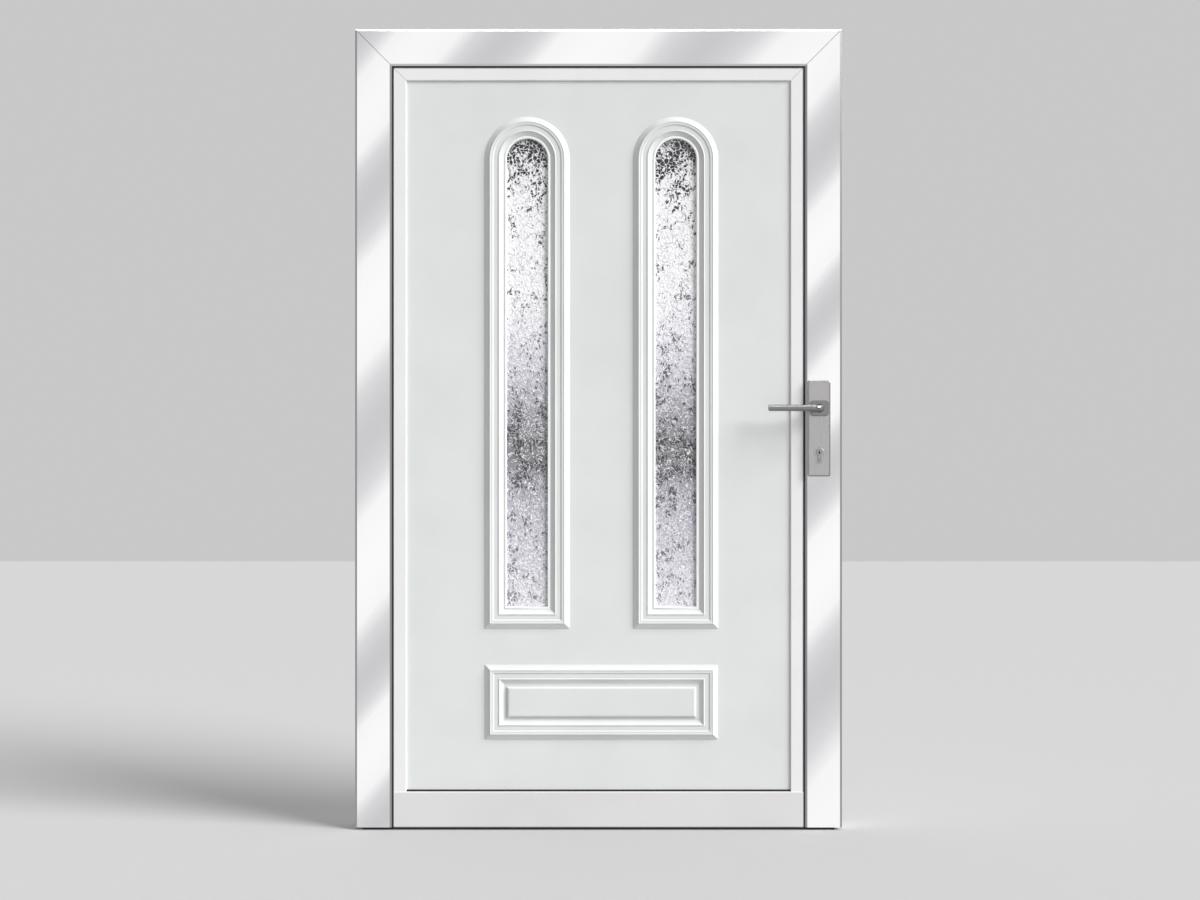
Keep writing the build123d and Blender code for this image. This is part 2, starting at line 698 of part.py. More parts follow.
def frame_hinge_bracket(middle):
    """Plate of a hinge in the jamb, with the two arms that reach forward to its knuckles."""
    heights = around(middle, HINGE_HEIGHT)
    plate_back = FRAME_FRONT + HINGE_PLATE_WIDTH
    plate_x = (-JAMB_FACE - HINGE_PLATE_THICK, -JAMB_FACE)
    solid = block(plate_x, (FRAME_FRONT, plate_back), heights)
    arm_x = (plate_x[0] - HINGE_ARM_THICK, plate_x[0])
    low, high = hinge_middle(middle)
    for ends in ((heights[0], low - KNUCKLE_GAP), (high + KNUCKLE_GAP, heights[1])):
        solid += block(arm_x, (HINGE_Y, FRAME_FRONT + HINGE_PLATE_THICK), ends)
    return solid


def frame_hinge_part(middle):
    """Fixed part of a hinge: its bracket and the two knuckles above and below the leaf's."""
    solid = frame_hinge_bracket(middle)
    heights = around(middle, HINGE_HEIGHT)
    low, high = hinge_middle(middle)
    for ends in ((heights[0], low - KNUCKLE_GAP), (high + KNUCKLE_GAP, heights[1])):
        solid += rod((HINGE_X, HINGE_Y, ends[0]), (HINGE_X, HINGE_Y, ends[1]), KNUCKLE_RADIUS)
    return bored(solid, middle)


def leaf_hinge_bracket(middle):
    """Plate of a hinge in the leaf's edge, with the arm that reaches to the middle knuckle."""
    plate_x = (-BODY_EDGE, -BODY_EDGE + HINGE_PLATE_THICK)
    arm_back = HINGE_Y + KNUCKLE_RADIUS
    arm_front = arm_back - HINGE_ARM_THICK
    heights = around(middle, HINGE_HEIGHT)
    solid = block(plate_x, (FLANGE_BACK, FLANGE_BACK + HINGE_PLATE_WIDTH), heights)
    solid += block(plate_x, (arm_front, FLANGE_BACK), hinge_middle(middle))
    return solid + block((HINGE_X, plate_x[1]), (arm_front, arm_back), hinge_middle(middle))


def leaf_hinge_part(middle):
    """Moving part of a hinge: its bracket and the middle knuckle."""
    low, high = hinge_middle(middle)
    solid = leaf_hinge_bracket(middle)
    solid += rod((HINGE_X, HINGE_Y, low), (HINGE_X, HINGE_Y, high), KNUCKLE_RADIUS)
    return bored(solid, middle)


def hinge_pin(middle):
    """Pin of a hinge, with a head at each end."""
    low, high = around(middle, HINGE_HEIGHT)
    solid = rod((HINGE_X, HINGE_Y, low), (HINGE_X, HINGE_Y, high), PIN_RADIUS)
    for start, end in ((low - PIN_HEAD_HEIGHT, low), (high, high + PIN_HEAD_HEIGHT)):
        solid += rod((HINGE_X, HINGE_Y, start), (HINGE_X, HINGE_Y, end), PIN_HEAD_RADIUS)
    return solid


def hinge_pocket(middle):
    """Room for a hinge in the back of the flange, open to the back and to the leaf's edge."""
    right = HINGE_X + KNUCKLE_RADIUS + POCKET_PLAY
    front = HINGE_Y - KNUCKLE_RADIUS - POCKET_PLAY
    height = HINGE_HEIGHT + 2 * (PIN_HEAD_HEIGHT + POCKET_PLAY)
    return block((-HALF, right), (front, FLANGE_BACK), around(middle, height))


def hinge_stile():
    """Hinge stile, with a pocket and a seat for each hinge."""
    solid = stile(-1)
    for middle in HINGE_PLACES:
        solid -= hinge_pocket(middle)
        solid -= leaf_hinge_bracket(middle)
    return solid


def hinge_jamb():
    """Hinge jamb, with a seat for each hinge's plate and arms."""
    solid = jamb(-1)
    for middle in HINGE_PLACES:
        solid -= frame_hinge_bracket(middle)
    return solid


nodes = {
    "jamb_hinge_side": hinge_jamb(),
    "jamb_lock_side": lock_jamb(),
    "frame_head": frame_head(),
    "threshold": threshold(),
    "door_stop": door_stop(),
    "stop_gasket": stop_gasket(),
    "strike_plate": strike_plate(),
    "stile_hinge_side": hinge_stile(),
    "stile_lock_side": lock_stile(),
    "top_rail": top_member(band_section()),
    "bottom_rail": bottom_rail(),
    "bead_left": side_member(bead_section(), -1, RAIL_TOP),
    "bead_right": side_member(bead_section(), 1, RAIL_TOP),
    "bead_top": top_member(bead_section()),
    "front_gasket": front_gasket(),
    "back_gasket": back_gasket(),
    "sill_gasket": sill_gasket(),
    "bottom_seal": bottom_seal(),
    "panel_front_skin": panel_layer(PANEL_FRONT, PANEL_FRONT + SKIN_THICK),
    "panel_core": panel_layer(PANEL_FRONT + SKIN_THICK, PANEL_BACK - SKIN_THICK),
    "panel_back_skin": panel_layer(PANEL_BACK - SKIN_THICK, PANEL_BACK),
    "lower_insert_front": lower_insert(),
    "lower_insert_back": behind(lower_insert()),
    "handle_plate_front": plate(-1, LEAF_FRONT, FRONT_PLATE_WIDTH, COLLAR_WIDTH),
    "handle_plate_back": plate(1, LEAF_BACK, BACK_PLATE_WIDTH, BACK_COLLAR_WIDTH),
    "lever_front": lever(-1, LEAF_FRONT),
    "lever_back": lever(1, LEAF_BACK),
    "spindle": spindle(),
    "lock_cylinder": lock_cylinder(),
    "lock_plug_front": keyed_plug(-1),
    "lock_plug_back": keyed_plug(1),
    "lock_faceplate": lock_faceplate(),
    "lock_bolts": bolts(BODY_EDGE - BOLT_LENGTH, BODY_EDGE, 0),
    "hinge_pins": Compound(children=[hinge_pin(middle) for middle in HINGE_PLACES]),
    "glass_spacers": Compound(children=[spacer(-1), spacer(1)]),
}
for side, name in ((-1, "left"), (1, "right")):
    nodes["arch_moulding_front_" + name] = arch_moulding(side)
    nodes["arch_moulding_back_" + name] = behind(arch_moulding(side))
    nodes["pane_front_" + name] = pane(side, FRONT_PANE)
    nodes["pane_back_" + name] = pane(side, BACK_PANE)
for middle, name in zip(HINGE_PLACES, ("bottom", "middle", "top")):
    nodes["hinge_" + name + "_frame_part"] = frame_hinge_part(middle)
    nodes["hinge_" + name + "_leaf_part"] = leaf_hinge_part(middle)

for name, shape in nodes.items():
    export_step(shape, "parts/" + name + ".step")
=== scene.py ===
import json
import math

import bmesh
import bpy
from mathutils import Matrix, Vector

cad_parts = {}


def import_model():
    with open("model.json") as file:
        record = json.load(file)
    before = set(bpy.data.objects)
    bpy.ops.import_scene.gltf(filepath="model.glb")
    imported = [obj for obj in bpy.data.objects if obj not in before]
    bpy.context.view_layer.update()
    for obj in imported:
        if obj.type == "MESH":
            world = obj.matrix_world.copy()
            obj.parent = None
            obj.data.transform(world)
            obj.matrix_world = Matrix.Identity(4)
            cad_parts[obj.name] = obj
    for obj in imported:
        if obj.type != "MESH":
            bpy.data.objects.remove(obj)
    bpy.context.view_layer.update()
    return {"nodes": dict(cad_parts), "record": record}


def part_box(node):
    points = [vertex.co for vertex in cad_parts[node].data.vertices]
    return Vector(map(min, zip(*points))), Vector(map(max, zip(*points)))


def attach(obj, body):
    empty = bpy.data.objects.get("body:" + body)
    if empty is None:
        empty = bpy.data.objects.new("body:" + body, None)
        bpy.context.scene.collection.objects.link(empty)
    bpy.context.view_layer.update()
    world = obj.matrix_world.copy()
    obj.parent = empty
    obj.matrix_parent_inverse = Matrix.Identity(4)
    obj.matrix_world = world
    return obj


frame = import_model()

# Entrance door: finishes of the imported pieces, the small fastenings, seams and seals, and a studio.
# Lengths are in metres. X runs right towards the lock, Z up, and the street side looks along -Y.
MM = 0.001


def piece_box(node):
    """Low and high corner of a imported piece."""
    return [Vector(corner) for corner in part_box(node)]


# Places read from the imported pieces
LEAF_LOW, LEAF_HIGH = piece_box("top_rail")
STILE_LOW, STILE_HIGH = piece_box("stile_lock_side")
BEAD_FRONT = piece_box("bead_top")[0].y
GLASS_LOW, GLASS_HIGH = piece_box("pane_front_left")
# How far a pane reaches under the lip of its moulding
PANE_LAP = 11.5 * MM
ARCH_RADIUS = (GLASS_HIGH.x - GLASS_LOW.x) / 2 - PANE_LAP
ARCH_Z = GLASS_HIGH.z - PANE_LAP - ARCH_RADIUS
ARCH_FOOT = GLASS_LOW.z + PANE_LAP
LITE_MIDDLES = [(low.x + high.x) / 2 for low, high in
                (piece_box("pane_front_left"), piece_box("pane_front_right"))]

# How far the leaf's flange reaches past its body, a handle plate's thickness, and the screws' heads
FLANGE = 27 * MM
PLATE_THICK = 10 * MM
SCREW_RADIUS = 4 * MM


# Colour and node helpers

def linear(hex_colour):
    """Linear RGBA of an sRGB hex colour."""
    channels = [int(hex_colour[place:place + 2], 16) / 255 for place in (0, 2, 4)]
    return [c / 12.92 if c <= 0.04045 else ((c + 0.055) / 1.055) ** 2.4 for c in channels] + [1.0]


def add(tree, kind, inputs=None, stops=(), **settings):
    """Adds a node with its settings and colour stops, and sets or links each of its inputs."""
    node = tree.nodes.new(kind)
    for name, value in settings.items():
        setattr(node, name, value)
    for name, value in (inputs or {}).items():
        if isinstance(value, bpy.types.NodeSocket):
            tree.links.new(value, node.inputs[name])
        else:
            node.inputs[name].default_value = value
    if stops:
        elements = node.color_ramp.elements
        while len(elements) < len(stops):
            elements.new(1.0)
        for element, (position, hex_colour) in zip(elements, stops):
            element.position = position
            element.color = linear(hex_colour)
    return node


def surface(name, **sockets):
    """New material with one Principled shader, and that shader."""
    material = bpy.data.materials.new(name)
    material.use_nodes = True
    shader = material.node_tree.nodes["Principled BSDF"]
    for socket, value in sockets.items():
        shader.inputs[socket.replace("_", " ")].default_value = value
    return material, shader


def place_on(tree, across=1.0, deep=1.0, up=1.0):
    """The point on the object in metres, stretched along its three axes."""
    point = add(tree, "ShaderNodeTexCoord").outputs["Object"]
    stretch = {"Vector": point, "Scale": (across, deep, up)}
    return add(tree, "ShaderNodeMapping", stretch).outputs["Vector"]


# Finishes

def polished_aluminium():
    """Polished aluminium: near a mirror, with soft bright and grey bands of painted reflection in its
    colour.
    """
    material, shader = surface("polished_aluminium", Metallic=1.0, Roughness=0.16)
    tree = material.node_tree
    # The bands rise to the right at 49 degrees, one every 500 mm of height, and wander by up to 60 mm
    rise = 1.15
    spacing = 500 * MM
    wander = 60 * MM
    # They crowd and spread by 95 mm on a slow wave 2.2 m long
    slow_length = 2200 * MM
    crowding = 95 * MM
    # Where the two waves start, in radians
    start = 2.39
    slow_start = -1.71
    place = add(tree, "ShaderNodeTexCoord")
    drift = {"Vector": place.outputs["Object"], "Scale": 1 / (420 * MM), "Detail": 1.0}
    drifted = add(tree, "ShaderNodeTexNoise", drift).outputs["Fac"]
    slant = {0: place.outputs["Object"], 1: (-rise, 0.0, 1.0)}
    along = add(tree, "ShaderNodeVectorMath", slant, operation="DOT_PRODUCT").outputs["Value"]
    bent = {0: drifted, 1: wander, 2: along}
    wobbly = add(tree, "ShaderNodeMath", bent, operation="MULTIPLY_ADD").outputs["Value"]
    slowly = {0: along, 1: 2 * math.pi / slow_length, 2: slow_start}
    slow_turn = add(tree, "ShaderNodeMath", slowly, operation="MULTIPLY_ADD").outputs["Value"]
    slow_wave = add(tree, "ShaderNodeMath", {0: slow_turn}, operation="SINE").outputs["Value"]
    crowded = {0: slow_wave, 1: crowding, 2: wobbly}
    moved = add(tree, "ShaderNodeMath", crowded, operation="MULTIPLY_ADD").outputs["Value"]
    turns = {0: moved, 1: 2 * math.pi / spacing, 2: start}
    turned = add(tree, "ShaderNodeMath", turns, operation="MULTIPLY_ADD").outputs["Value"]
    wave = add(tree, "ShaderNodeMath", {0: turned}, operation="SINE").outputs["Value"]
    # The bevelled edges get a painted highlight: a brighter colour than the flat face, whose normal is
    # along Y
    facing = add(tree, "ShaderNodeSeparateXYZ", {"Vector": place.outputs["Normal"]}).outputs["Y"]
    flat = add(tree, "ShaderNodeMath", {0: facing}, operation="ABSOLUTE").outputs["Value"]
    tilt = {"Value": flat, "From Min": 0.99, "From Max": 0.95}
    bevel = add(tree, "ShaderNodeMapRange", tilt).outputs["Result"]
    level = {"Value": wave, "From Min": -1.0, "From Max": 1.0}
    painted_reflection_bands = add(tree, "ShaderNodeMapRange", level).outputs["Result"]
    painted_reflection_and_highlight = add(tree, "ShaderNodeMath", {0: painted_reflection_bands, 1: bevel}, operation="MAXIMUM").outputs["Value"]
    # Painted reflection and painted highlight: the bands' greys and whites and the brighter bevels are
    # put into the base colour
    painted_reflection_greys = ((0.0, "CCCCCE"), (0.3, "DCDCDE"), (0.62, "F8F8F9"), (1.0, "FCFCFC"))
    painted_reflection_colour = add(tree, "ShaderNodeValToRGB", {"Fac": painted_reflection_and_highlight}, painted_reflection_greys).outputs["Color"]
    tree.links.new(painted_reflection_colour, shader.inputs["Base Color"])
    bump = {"Height": drifted, "Strength": 0.5, "Distance": 6 * MM}
    tree.links.new(add(tree, "ShaderNodeBump", bump).outputs["Normal"], shader.inputs["Normal"])
    return material


def coated(name, hex_colour, roughness):
    """Satin powder coat on metal: an even colour with the faint orange peel of melted powder."""
    material, shader = surface(name, Roughness=roughness, IOR=1.5)
    tree = material.node_tree
    grain = {"Vector": place_on(tree), "Scale": 1 / (2.5 * MM), "Detail": 2.0}
    peel = add(tree, "ShaderNodeTexNoise", grain).outputs["Fac"]
    cloud = {"Vector": place_on(tree), "Scale": 1 / (180 * MM), "Detail": 3.0}
    shade = add(tree, "ShaderNodeTexNoise", cloud).outputs["Fac"]
    # The clouds are 4 steps of 255 darker than the coat
    channels = [int(hex_colour[place:place + 2], 16) for place in (0, 2, 4)]
    darker = "".join(f"{max(channel - 4, 0):02X}" for channel in channels)
    tones = ((0.35, darker), (0.6, hex_colour))
    colour = add(tree, "ShaderNodeValToRGB", {"Fac": shade}, tones).outputs["Color"]
    tree.links.new(colour, shader.inputs["Base Color"])
    bump = {"Height": peel, "Strength": 0.25, "Distance": 0.05 * MM}
    tree.links.new(add(tree, "ShaderNodeBump", bump).outputs["Normal"], shader.inputs["Normal"])
    return material


def brushed_steel(name, dark, light, roughness, along, collar="FFFFFF"):
    """Stainless steel brushed one way: fine scratches stretch the highlights across them.

    A plate's collar gets a painted shade: its colour is multiplied by the colour given for it.
    """
    material, shader = surface(name, Metallic=1.0, Roughness=roughness)
    tree = material.node_tree
    # A scratch is 0.3 mm wide and about 40 mm long
    across = 1 / (0.3 * MM)
    stretched = [1 / (40 * MM) if axis == along else across for axis in range(3)]
    grain = {"Vector": place_on(tree, *stretched), "Scale": 1.0, "Detail": 2.0}
    scratches = add(tree, "ShaderNodeTexNoise", grain).outputs["Fac"]
    tones = ((0.3, dark), (0.7, light))
    brushed = add(tree, "ShaderNodeValToRGB", {"Fac": scratches}, tones).outputs["Color"]
    depth = add(tree, "ShaderNodeSeparateXYZ", {"Vector": place_on(tree)}).outputs["Y"]
    middle = (STILE_LOW.y + STILE_HIGH.y) / 2
    centred = add(tree, "ShaderNodeMath", {0: depth, 1: middle}, operation="SUBTRACT").outputs["Value"]
    out = add(tree, "ShaderNodeMath", {0: centred}, operation="ABSOLUTE").outputs["Value"]
    half = (STILE_HIGH.y - STILE_LOW.y) / 2
    # The collar's painted shade starts 13 mm out from the band, past the plate's face, and is full at 15
    # mm
    raised = {"Value": out, "From Min": half + 13 * MM, "From Max": half + 15 * MM}
    collar_shade_mask = add(tree, "ShaderNodeMapRange", raised).outputs["Result"]
    collar_shade_mix = {0: collar_shade_mask, 6: brushed, 7: linear(collar)}
    with_collar_shade = add(tree, "ShaderNodeMix", collar_shade_mix, data_type="RGBA", blend_type="MULTIPLY").outputs[2]
    tree.links.new(with_collar_shade, shader.inputs["Base Color"])
    bump = {"Height": scratches, "Strength": 0.35, "Distance": 0.03 * MM}
    tree.links.new(add(tree, "ShaderNodeBump", bump).outputs["Normal"], shader.inputs["Normal"])
    return material


def plated_steel(name, dark, light, roughness):
    """Zinc or nickel plated steel: a dull metal with faint crystal clouds."""
    material, shader = surface(name, Metallic=1.0, Roughness=roughness)
    tree = material.node_tree
    cloud = {"Vector": place_on(tree), "Scale": 1 / (6 * MM), "Detail": 3.0}
    clouds = add(tree, "ShaderNodeTexNoise", cloud).outputs["Fac"]
    tones = ((0.35, dark), (0.65, light))
    colour = add(tree, "ShaderNodeValToRGB", {"Fac": clouds}, tones).outputs["Color"]
    tree.links.new(colour, shader.inputs["Base Color"])
    return material


def plug_nickel():
    """Nickel plated lock plug, with painted shade round the mouth of its keyway."""
    material, shader = surface("plug_nickel", Metallic=1.0, Roughness=0.25)
    tree = material.node_tree
    low, high = piece_box("lock_plug_front")
    axis = ((low.x + high.x) / 2, 0.0, (low.z + high.z) / 2)
    from_axis = {0: place_on(tree, deep=0.0), 1: axis}
    offset = add(tree, "ShaderNodeVectorMath", from_axis, operation="SUBTRACT").outputs["Vector"]
    radius = add(tree, "ShaderNodeVectorMath", {0: offset}, operation="LENGTH").outputs["Value"]
    # Painted shade: near black within 2.2 mm of the plug's axis, where the keyway's mouth lies in shadow
    mouth = {"Value": radius, "From Min": 2.2 * MM, "From Max": 2.8 * MM}
    outside_keyway_shade = add(tree, "ShaderNodeMapRange", mouth).outputs["Result"]
    tones = ((0.0, "262626"), (1.0, "A5A4A2"))
    colour = add(tree, "ShaderNodeValToRGB", {"Fac": outside_keyway_shade}, tones).outputs["Color"]
    tree.links.new(colour, shader.inputs["Base Color"])
    return material


def anodised_aluminium(name, dark, light):
    """Extruded and anodised aluminium: satin, with draw lines along its length."""
    material, shader = surface(name, Metallic=1.0, Roughness=0.38)
    tree = material.node_tree
    grain = {"Vector": place_on(tree, 2.0, 1 / (0.8 * MM), 1 / (0.8 * MM)), "Scale": 1.0}
    lines = add(tree, "ShaderNodeTexNoise", grain).outputs["Fac"]
    tones = ((0.3, dark), (0.7, light))
    colour = add(tree, "ShaderNodeValToRGB", {"Fac": lines}, tones).outputs["Color"]
    tree.links.new(colour, shader.inputs["Base Color"])
    bump = {"Height": lines, "Strength": 0.3, "Distance": 0.03 * MM}
    tree.links.new(add(tree, "ShaderNodeBump", bump).outputs["Normal"], shader.inputs["Normal"])
    return material


def black_rubber():
    """Extruded EPDM rubber: near black and dull, with a fine skin."""
    material, shader = surface("epdm_rubber", Roughness=0.72, IOR=1.52)
    tree = material.node_tree
    grain = {"Vector": place_on(tree), "Scale": 1 / (1.2 * MM), "Detail": 3.0}
    skin = add(tree, "ShaderNodeTexNoise", grain).outputs["Fac"]
    tones = ((0.3, "161616"), (0.7, "242425"))
    colour = add(tree, "ShaderNodeValToRGB", {"Fac": skin}, tones).outputs["Color"]
    tree.links.new(colour, shader.inputs["Base Color"])
    bump = {"Height": skin, "Strength": 0.3, "Distance": 0.05 * MM}
    tree.links.new(add(tree, "ShaderNodeBump", bump).outputs["Normal"], shader.inputs["Normal"])
    return material


def rigid_foam():
    """Polyurethane foam core: cream, matte and open celled."""
    material, shader = surface("polyurethane_foam", Roughness=0.9, IOR=1.45)
    tree = material.node_tree
    cells = {"Vector": place_on(tree), "Scale": 1 / (1.5 * MM)}
    cell = add(tree, "ShaderNodeTexVoronoi", cells).outputs["Distance"]
    tones = ((0.1, "B9B199"), (0.6, "E2DCC6"))
    colour = add(tree, "ShaderNodeValToRGB", {"Fac": cell}, tones).outputs["Color"]
    tree.links.new(colour, shader.inputs["Base Color"])
    return material


def ice_glass():
    """Cast ice glass: milky and veined, with specks of painted shade where it is clear enough to see
    through.
    """
    material, shader = surface("cast_ice_glass", Roughness=0.1, IOR=1.52)
    tree = material.node_tree
    point = place_on(tree)
    # The pattern is looked up at a point that a soft noise pushes about 6 mm, so that its veins curl
    curl = {"Vector": point, "Scale": 1 / (18 * MM), "Detail": 1.0}
    curled = add(tree, "ShaderNodeTexNoise", curl).outputs["Color"]
    amount = {0: curled, "Scale": 12 * MM}
    push = add(tree, "ShaderNodeVectorMath", amount, operation="SCALE").outputs["Vector"]
    twisted = add(tree, "ShaderNodeVectorMath", {0: point, 1: push}, operation="ADD").outputs["Vector"]
    cells = {"Vector": twisted, "Scale": 1 / (10 * MM)}
    vein = add(tree, "ShaderNodeTexVoronoi", cells, feature="DISTANCE_TO_EDGE").outputs["Distance"]
    # Veins are 1 to 3 mm wide, and broken where the ragged noise is high
    rags = {"Vector": point, "Scale": 1 / (7 * MM), "Detail": 1.0}
    ragged = add(tree, "ShaderNodeTexNoise", rags).outputs["Fac"]
    uneven = {0: ragged, 1: 0.35, 2: vein}
    torn = add(tree, "ShaderNodeMath", uneven, operation="MULTIPLY_ADD").outputs["Value"]
    veined = {"Value": torn, "From Min": 0.21, "From Max": 0.27}
    clear = add(tree, "ShaderNodeMapRange", veined).outputs["Result"]
    # Specks are strokes about 3 by 6 mm that lean to the right
    lean = {"Vector": twisted, "Rotation": (0.0, math.radians(35), 0.0), "Scale": (1.0, 1.0, 0.5)}
    leaning = add(tree, "ShaderNodeMapping", lean).outputs["Vector"]
    strokes = {"Vector": leaning, "Scale": 1 / (5.5 * MM), "Detail": 1.5}
    stroke = add(tree, "ShaderNodeTexNoise", strokes).outputs["Fac"]
    crowds = {"Vector": point, "Scale": 1 / (30 * MM), "Detail": 1.5}
    crowd = add(tree, "ShaderNodeTexNoise", crowds).outputs["Fac"]
    crowded = {0: crowd, 1: 0.9, 2: stroke}
    heap = add(tree, "ShaderNodeMath", crowded, operation="MULTIPLY_ADD").outputs["Value"]
    up = height_on_glass(tree, point)
    # How much of the glass is specked, from its foot to its crown
    amounts = ((0.0, "4E4E4E"), (0.16, "444444"), (0.30, "727272"), (0.40, "6C6C6C"),
               (0.50, "464646"), (0.66, "323232"), (0.84, "424242"), (0.95, "989898"))
    cover = add(tree, "ShaderNodeValToRGB", {"Fac": up}, amounts).outputs["Color"]
    total = add(tree, "ShaderNodeMath", {0: heap, 1: cover}, operation="ADD").outputs["Value"]
    edge = {"Value": total, "From Min": 1.12, "From Max": 1.18}
    specked = add(tree, "ShaderNodeMapRange", edge).outputs["Result"]
    speck = add(tree, "ShaderNodeMath", {0: specked, 1: clear}, operation="MULTIPLY").outputs["Value"]
    # The milk is greyest a third of the way up and whitest above the middle, and the specks follow it
    milks = ((0.0, "EAE8EE"), (0.10, "D6D4DE"), (0.22, "C0BECA"), (0.33, "77777A"), (0.40, "98989E"),
             (0.47, "C2C1CB"), (0.58, "EDECF3"), (0.68, "FCFCFE"), (0.88, "FBFBFD"), (1.0, "D6D5DA"))
    milk = add(tree, "ShaderNodeValToRGB", {"Fac": up}, milks).outputs["Color"]
    # Painted shade: the specks take these dark tones for the dim room seen through the clear glass
    painted_shade_tones = ((0.05, "8A8690"), (0.34, "3C3C3E"), (0.60, "7A7480"), (0.90, "2C2B2D"))
    dark = add(tree, "ShaderNodeValToRGB", {"Fac": up}, painted_shade_tones).outputs["Color"]
    # Hair-fine dark and white curls in the milky glass, where a second noise crosses three values
    curls = {"Vector": twisted, "Scale": 1 / (16 * MM), "Detail": 2.0}
    middle = add(tree, "ShaderNodeTexNoise", curls).outputs["Fac"]
    body = milk
    for value, strength, shade in ((0.5, 0.6, "A09BA6"), (0.6, 0.75, "FDFDFE"), (0.4, 0.75, "FDFDFE")):
        off = add(tree, "ShaderNodeMath", {0: middle, 1: value}, operation="SUBTRACT").outputs["Value"]
        near = add(tree, "ShaderNodeMath", {0: off}, operation="ABSOLUTE").outputs["Value"]
        thin = {"Value": near, "From Min": 0.026, "From Max": 0.008, "To Max": strength}
        hair = add(tree, "ShaderNodeMapRange", thin).outputs["Result"]
        curled_body = {0: hair, 6: body, 7: linear(shade)}
        body = add(tree, "ShaderNodeMix", curled_body, data_type="RGBA").outputs[2]
    tone = {0: speck, 6: body, 7: dark}
    colour = add(tree, "ShaderNodeMix", tone, data_type="RGBA").outputs[2]
    tree.links.new(colour, shader.inputs["Base Color"])
    relief = add(tree, "ShaderNodeMath", {0: heap, 1: clear}, operation="SUBTRACT").outputs["Value"]
    bump = {"Height": relief, "Strength": 0.6, "Distance": 1.5 * MM}
    tree.links.new(add(tree, "ShaderNodeBump", bump).outputs["Normal"], shader.inputs["Normal"])
    return material


def height_on_glass(tree, point):
    """Height on a pane as 0 at its foot and 1 at its crown."""
    level = add(tree, "ShaderNodeSeparateXYZ", {"Vector": point}).outputs["Z"]
    span = {"Value": level, "From Min": GLASS_LOW.z, "From Max": GLASS_HIGH.z}
    return add(tree, "ShaderNodeMapRange", span).outputs["Result"]


def white_seal():
    """Extruded white PVC glazing seal: smooth and a little glossy, faintly cloudy."""
    material, shader = surface("white_pvc_seal", Roughness=0.3, IOR=1.53)
    tree = material.node_tree
    cloud = {"Vector": place_on(tree), "Scale": 1 / (60 * MM), "Detail": 2.0}
    clouds = add(tree, "ShaderNodeTexNoise", cloud).outputs["Fac"]
    tones = ((0.35, "F4F4F5"), (0.6, "FAFAFA"))
    colour = add(tree, "ShaderNodeValToRGB", {"Fac": clouds}, tones).outputs["Color"]
    tree.links.new(colour, shader.inputs["Base Color"])
    return material


FINISHES = {
    "polished_band": polished_aluminium(),
    "painted_rail": coated("powder_coat_rail", "DCDBDB", 0.42),
    "white_bead": coated("powder_coat_bead", "ECECEC", 0.38),
    "panel_white": coated("moulded_panel_skin", "DFE2E1", 0.40),
    "panel_foam": rigid_foam(),
    "ice_glass": ice_glass(),
    "spacer_metal": anodised_aluminium("mill_aluminium", "9C9C9E", "B4B4B6"),
    "black_rubber": black_rubber(),
    "frame_paint": coated("powder_coat_frame", "DADBDB", 0.45),
    "threshold_metal": anodised_aluminium("anodised_threshold", "A2A2A4", "BCBCBE"),
    # The plates' last colour, C4C4C4, is the painted shade on their collars
    "handle_steel": brushed_steel("brushed_stainless", "A3A2A2", "C4C2C2", 0.24, 2, "C4C4C4"),
    "lock_steel": plated_steel("satin_nickel", "8F8E8C", "A5A4A2", 0.25),
    "hinge_steel": plated_steel("zinc_plate", "9FA2A6", "BABCBD", 0.4),
}


def dress_nodes():
    """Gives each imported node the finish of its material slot, and the levers and plugs their own."""
    # Painted shade: the levers get a darker copy of the plates' brushed stainless
    shaded_lever_steel = brushed_steel("shaded_lever_stainless", "8C8B8B", "A9A8A8", 0.2, 0)
    plug_steel = plug_nickel()
    own = {"lever_front": shaded_lever_steel, "lever_back": shaded_lever_steel,
           "lock_plug_front": plug_steel, "lock_plug_back": plug_steel}
    for entry in frame["record"]["subparts"]:
        node = frame["nodes"][entry["node"]]
        finish = own.get(entry["node"], FINISHES[entry["material_slot"]])
        node.data.materials.clear()
        node.data.materials.append(finish)


# Small pieces

def mesh_piece(name, build, body, slot, finish=None):
    """Makes an object with a function that fills a bmesh, on a body, in a slot's or its own finish."""
    mesh = bpy.data.meshes.new(name)
    shape = bmesh.new()
    build(shape)
    bmesh.ops.recalc_face_normals(shape, faces=shape.faces)
    shape.to_mesh(mesh)
    shape.free()
    piece = bpy.data.objects.new(name, mesh)
    bpy.context.scene.collection.objects.link(piece)
    mesh.materials.append(finish or FINISHES[slot])
    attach(piece, body)


